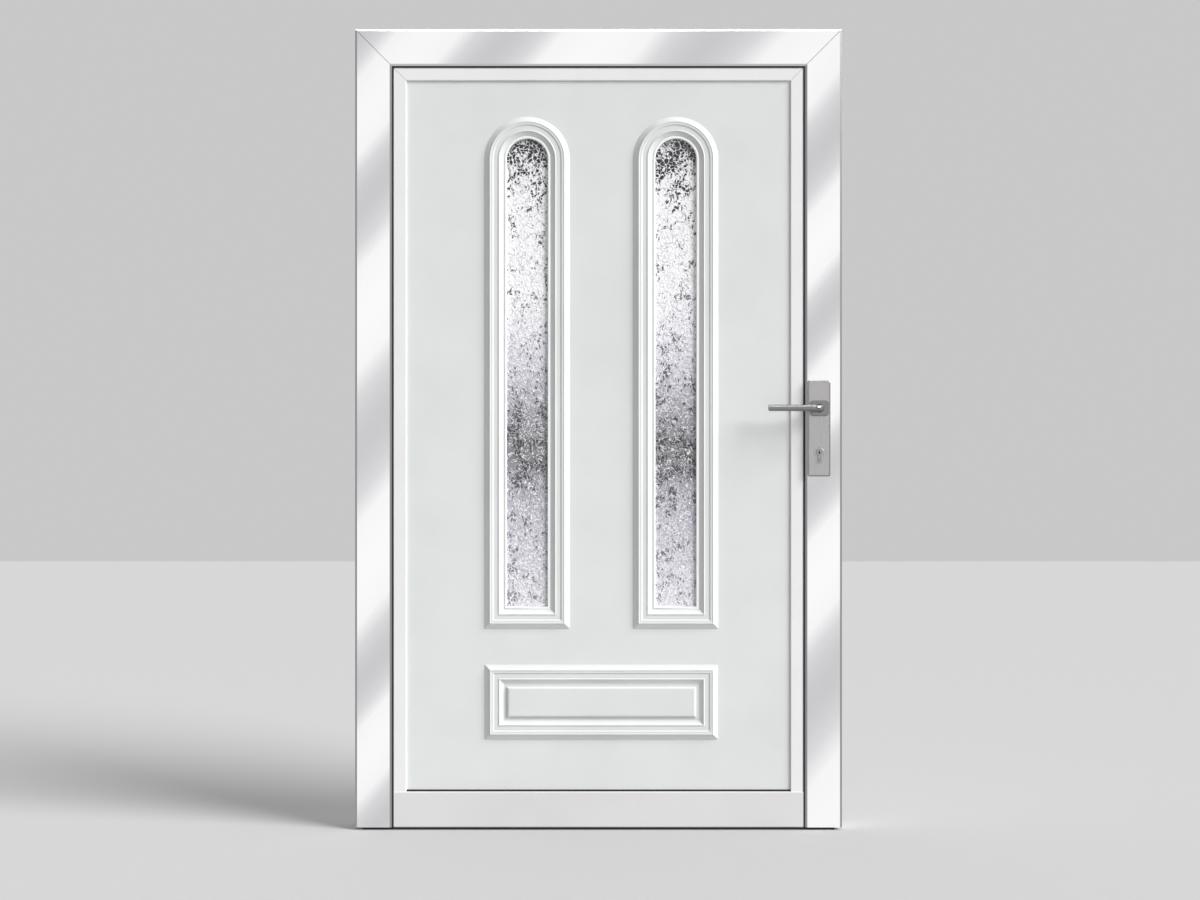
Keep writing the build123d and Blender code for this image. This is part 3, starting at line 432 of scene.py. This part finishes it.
def screw_head(shape, centre, outward, radius):
    """Countersunk head with a cross recess, its face just proud of the plate that it holds."""
    sides = 24
    arm = 0.62 * radius
    half_arm = 0.14 * radius
    deep = 0.45 * radius
    proud = 0.25 * MM
    turn = Vector((0, 0, 1)).rotation_difference(Vector(outward)).to_matrix().to_4x4()
    place = Matrix.Translation(centre) @ turn
    rim = [(radius * math.cos(a), radius * math.sin(a), proud)
           for a in (2 * math.pi * step / sides for step in range(sides))]
    corners = []
    for quarter in range(4):
        spin = Matrix.Rotation(quarter * math.pi / 2, 3, "Z")
        for corner in ((arm, -half_arm), (arm, half_arm), (half_arm, half_arm)):
            corners.append(spin @ Vector((*corner, proud)))
    outer = [shape.verts.new(place @ Vector(point)) for point in rim]
    inner = [shape.verts.new(place @ point) for point in corners]
    loops = []
    for ring in (outer, inner):
        loops += [shape.edges.new((a, b)) for a, b in zip(ring, ring[1:] + ring[:1])]
    bmesh.ops.triangle_fill(shape, edges=loops, use_beauty=True)
    below = [shape.verts.new(place @ Vector((p.x, p.y, proud - deep))) for p in corners]
    for a, b, c, d in zip(inner, inner[1:] + inner[:1], below[1:] + below[:1], below):
        shape.faces.new((a, b, c, d))
    shape.faces.new(below)
    seat = [shape.verts.new(place @ Vector((x, y, 0.0))) for x, y, _ in rim]
    for a, b, c, d in zip(outer, outer[1:] + outer[:1], seat[1:] + seat[:1], seat):
        shape.faces.new((a, b, c, d))


def screws(name, places, outward, body, slot):
    """Screw heads at several places, as one piece."""
    def build(shape):
        for place in places:
            screw_head(shape, place, outward, SCREW_RADIUS)
    mesh_piece(name, build, body, slot)


def edge_plate_screws():
    """Two screws in the faceplate and two in the strike plate."""
    from_end = 14 * MM
    for name, node, side, body in (("faceplate_screws", "lock_faceplate", 1, "leaf"),
                                   ("strike_screws", "strike_plate", -1, "frame")):
        low, high = piece_box(node)
        face = high.x if side > 0 else low.x
        depth = (low.y + high.y) / 2
        ends = [Vector((face, depth, z)) for z in (low.z + from_end, high.z - from_end)]
        screws(name, ends, (side, 0, 0), body, "lock_steel")


def hinge_screws():
    """Three screws in each hinge plate, on the leaf's edge and on the jamb."""
    apart = 38 * MM
    from_back = 11 * MM
    for part, side, body in (("leaf_part", -1, "leaf"), ("frame_part", 1, "frame")):
        places = []
        for name in ("bottom", "middle", "top"):
            low, high = piece_box(f"hinge_{name}_{part}")
            middle = (low.z + high.z) / 2
            face = FLANGE - LEAF_HIGH.x if side < 0 else high.x
            depth = high.y - from_back
            places += [Vector((face, depth, middle + step * apart)) for step in (-1, 0, 1)]
        screws(f"hinge_screws_{part}", places, (side, 0, 0), body, "hinge_steel")


def back_plate_screws():
    """Two screws through the inside handle plate."""
    from_end = 16 * MM
    low, high = piece_box("handle_plate_back")
    middle = (low.x + high.x) / 2
    face = STILE_HIGH.y + PLATE_THICK
    places = [Vector((middle, face, z)) for z in (low.z + from_end, high.z - from_end)]
    screws("back_plate_screws", places, (0, 1, 0), "leaf", "lock_steel")


def strip(shape, start, end, width, height, outward):
    """Thin flat bar between two points, half sunk in the face that it lies on."""
    along = (end - start).normalized()
    across = along.cross(outward).normalized() * (width / 2)
    up = outward * height
    corners = []
    for point in (start, end):
        corners += [shape.verts.new(point + a * across + b * up) for a, b in
                    ((-1, -1), (1, -1), (1, 1), (-1, 1))]
    for face in ((0, 1, 2, 3), (7, 6, 5, 4), (0, 4, 5, 1), (1, 5, 6, 2), (2, 6, 7, 3), (3, 7, 4, 0)):
        shape.faces.new([corners[index] for index in face])


def mitre_seams():
    """Fine dark seam along each mitre of the band, front and back, and of the beads."""
    # Insets from the leaf's edge: the band's face and its bevels in front, its leg behind, and the bead
    face = 91.5 * MM
    bevel = 5 * MM
    leg = 122 * MM
    bead_start = 97 * MM
    bead_end = 127 * MM
    proud = 0.1 * MM
    front = Vector((0, -1, 0))
    back = Vector((0, 1, 0))
    # Depth of each seam's face, insets where it starts and ends, its width, and the way that it faces
    seams = [
        (LEAF_LOW.y, bevel, face - bevel, 1.0 * MM, front),
        (BEAD_FRONT, bead_start, bead_end, 0.5 * MM, front),
        (LEAF_HIGH.y, FLANGE, leg, 0.6 * MM, back),
    ]

    def build(shape):
        for depth, near, far, seam, outward in seams:
            for side in (-1, 1):
                start = Vector((side * (LEAF_HIGH.x - near), depth, LEAF_HIGH.z - near))
                end = Vector((side * (LEAF_HIGH.x - far), depth, LEAF_HIGH.z - far))
                strip(shape, start, end, seam, proud, outward)
    mesh_piece("mitre_seams", build, "leaf", "black_rubber")


def arch_outline(middle, distance):
    """Points round a lite, at a distance out from the edge of its glass."""
    steps = 40
    radius = ARCH_RADIUS + distance
    turns = [math.pi * step / steps for step in range(steps + 1)]
    head = [(middle + radius * math.cos(a), ARCH_Z + radius * math.sin(a)) for a in turns]
    foot = ARCH_FOOT - distance
    return head + [(middle - radius, foot), (middle + radius, foot)]


def glazing_seals():
    """White seal on the moulding's lip round each lite, on both faces of the panel."""
    # The seal's rounded section: distance out from the glass's edge and height over the lip, in mm
    rounding = [(0.2, -0.2), (0.6, 0.7), (2.0, 1.3), (4.6, 1.3), (6.2, 0.7), (6.8, -0.2)]
    # How far the moulding's lip stands out from the panel
    lip = 1.5 * MM
    panel_front = piece_box("panel_front_skin")[0].y
    panel_back = piece_box("panel_back_skin")[1].y

    def build(shape):
        for middle in LITE_MIDDLES:
            for face, outward in ((panel_front, -1), (panel_back, 1)):
                loops = []
                for distance, height in rounding:
                    depth = face + outward * (lip + height * MM)
                    points = arch_outline(middle, distance * MM)
                    loops.append([shape.verts.new((x, depth, z)) for x, z in points])
                for low, high in zip(loops, loops[1:] + loops[:1]):
                    for a, b, c, d in zip(low, low[1:] + low[:1], high[1:] + high[:1], high):
                        shape.faces.new((a, b, c, d)).smooth = True
    mesh_piece("glazing_seals", build, "leaf", "white_bead", white_seal())


def threshold_ribs():
    """Tread ribs along the threshold's flat top."""
    low, high = piece_box("threshold")
    ribs = 6
    pitch = 6 * MM
    first = 12 * MM
    tread = 20 * MM
    end_gap = 2 * MM
    rib_width = 2 * MM
    rib_height = 0.8 * MM

    def build(shape):
        for number in range(ribs):
            depth = low.y + first + number * pitch
            ends = [Vector((x, depth, tread)) for x in (low.x + end_gap, high.x - end_gap)]
            strip(shape, *ends, rib_width, rib_height, Vector((0, 0, 1)))
    mesh_piece("threshold_ribs", build, "frame", "threshold_metal")


dress_nodes()
edge_plate_screws()
hinge_screws()
back_plate_screws()
mitre_seams()
glazing_seals()
threshold_ribs()


# Studio

def floor():
    """Plain pale floor, not part of the door."""
    mesh = bpy.data.meshes.new("floor")
    reach = 12.0
    corners = [(-reach, -reach, 0), (reach, -reach, 0), (reach, reach, 0), (-reach, reach, 0)]
    mesh.from_pydata(corners, [], [(0, 1, 2, 3)])
    plane = bpy.data.objects.new("floor", mesh)
    bpy.context.scene.collection.objects.link(plane)
    material, shader = surface("plain_floor", Roughness=1.0, Specular_IOR_Level=0.0)
    shader.inputs["Base Color"].default_value = linear("BCBCBC")
    mesh.materials.append(material)
    # Metal mirrors the studio below instead of this floor
    plane.visible_glossy = False


def world():
    """Soft even light, a pale backdrop, and the white and grey studio that metal and glass show."""
    sky = bpy.data.worlds.new("studio")
    sky.use_nodes = True
    tree = sky.node_tree
    background = tree.nodes["Background"]
    background.inputs["Color"].default_value = linear("FFFFFF")
    direction = add(tree, "ShaderNodeTexCoord").outputs["Generated"]
    # White screens stand in front of the door, behind it, on both sides and overhead, in a dim room
    # with a grey floor. Their edges are given as the cosine of the angle off the middle of each.
    ahead = {0: direction, 1: (0.0, -1.0, 0.0)}
    facing = add(tree, "ShaderNodeVectorMath", ahead, operation="DOT_PRODUCT").outputs["Value"]
    straight = add(tree, "ShaderNodeMath", {0: facing}, operation="ABSOLUTE").outputs["Value"]
    upright = {"Value": straight, "From Min": 0.93, "From Max": 0.955}
    screen = add(tree, "ShaderNodeMapRange", upright).outputs["Result"]
    split = add(tree, "ShaderNodeSeparateXYZ", {"Vector": direction})
    sideways = add(tree, "ShaderNodeMath", {0: split.outputs["X"]}, operation="ABSOLUTE").outputs["Value"]
    flank = {"Value": sideways, "From Min": 0.8, "From Max": 0.92, "To Max": 0.8}
    side = add(tree, "ShaderNodeMapRange", flank).outputs["Result"]
    height = split.outputs["Z"]
    above = {"Value": height, "From Min": 0.6, "From Max": 0.85}
    overhead = add(tree, "ShaderNodeMapRange", above).outputs["Result"]
    below = {"Value": height, "From Min": -0.15, "From Max": -0.45, "To Max": 0.35}
    underfoot = add(tree, "ShaderNodeMapRange", below).outputs["Result"]
    white = add(tree, "ShaderNodeMath", {0: screen, 1: overhead}, operation="MAXIMUM").outputs["Value"]
    wall = add(tree, "ShaderNodeMath", {0: side, 1: underfoot}, operation="MAXIMUM").outputs["Value"]
    bright = add(tree, "ShaderNodeMath", {0: white, 1: wall}, operation="MAXIMUM").outputs["Value"]
    room = add(tree, "ShaderNodeMapRange", {"Value": bright, "To Min": 0.26, "To Max": 1.0})
    # The soft light is stronger behind the door, where no lamp reaches
    behind = {"Value": split.outputs["Y"], "From Min": -0.1, "From Max": 0.1,
              "To Min": 0.12, "To Max": 0.85}
    soft = add(tree, "ShaderNodeMapRange", behind).outputs["Result"]
    path = add(tree, "ShaderNodeLightPath")
    mirrored = {0: path.outputs["Is Glossy Ray"], 1: path.outputs["Is Transmission Ray"]}
    bounced = add(tree, "ShaderNodeMath", mirrored, operation="MAXIMUM").outputs["Value"]
    # Strengths: soft light on the door, the backdrop behind it, and what polished surfaces mirror
    light = {0: path.outputs["Is Camera Ray"], 2: soft, 3: 0.58}
    seen = add(tree, "ShaderNodeMix", light).outputs["Result"]
    shown = {0: bounced, 2: seen, 3: room.outputs["Result"]}
    strength = add(tree, "ShaderNodeMix", shown).outputs["Result"]
    tree.links.new(strength, background.inputs["Strength"])
    bpy.context.scene.world = sky


def lamp(name, strength, breadth, towards):
    """Soft far lamp in one direction, its breadth in degrees."""
    light = bpy.data.lights.new(name, "SUN")
    light.energy = strength
    light.angle = math.radians(breadth)
    holder = bpy.data.objects.new(name, light)
    holder.rotation_euler = Vector(towards).to_track_quat("Z", "Y").to_euler()
    bpy.context.scene.collection.objects.link(holder)


def camera():
    """Camera square to the door, at the height and scale of the photograph."""
    distance = 5.0
    eye_height = 949 * MM
    right_of_middle = 3.7 * MM
    photo_width = 1200
    pixel = 2.497 * MM
    sensor = 36
    lens = bpy.data.cameras.new("camera")
    lens.sensor_width = sensor
    lens.lens = sensor * distance / (photo_width * pixel)
    eye = bpy.data.objects.new("camera", lens)
    eye.location = (right_of_middle, LEAF_LOW.y - distance, eye_height)
    eye.rotation_euler = (math.pi / 2, 0, 0)
    bpy.context.scene.collection.objects.link(eye)
    bpy.context.scene.camera = eye


floor()
world()
# The main lamp stands far to the right and above the door, a little in front of it, so that the
# mouldings show. A weak one nearly overhead lights the tops of round bars.
lamp("main_lamp", 4.3, 34, (0.72, -0.42, 0.55))
lamp("top_lamp", 0.4, 12, (0.0, -0.45, 0.89))
camera()
bpy.context.scene.view_settings.view_transform = "Standard"
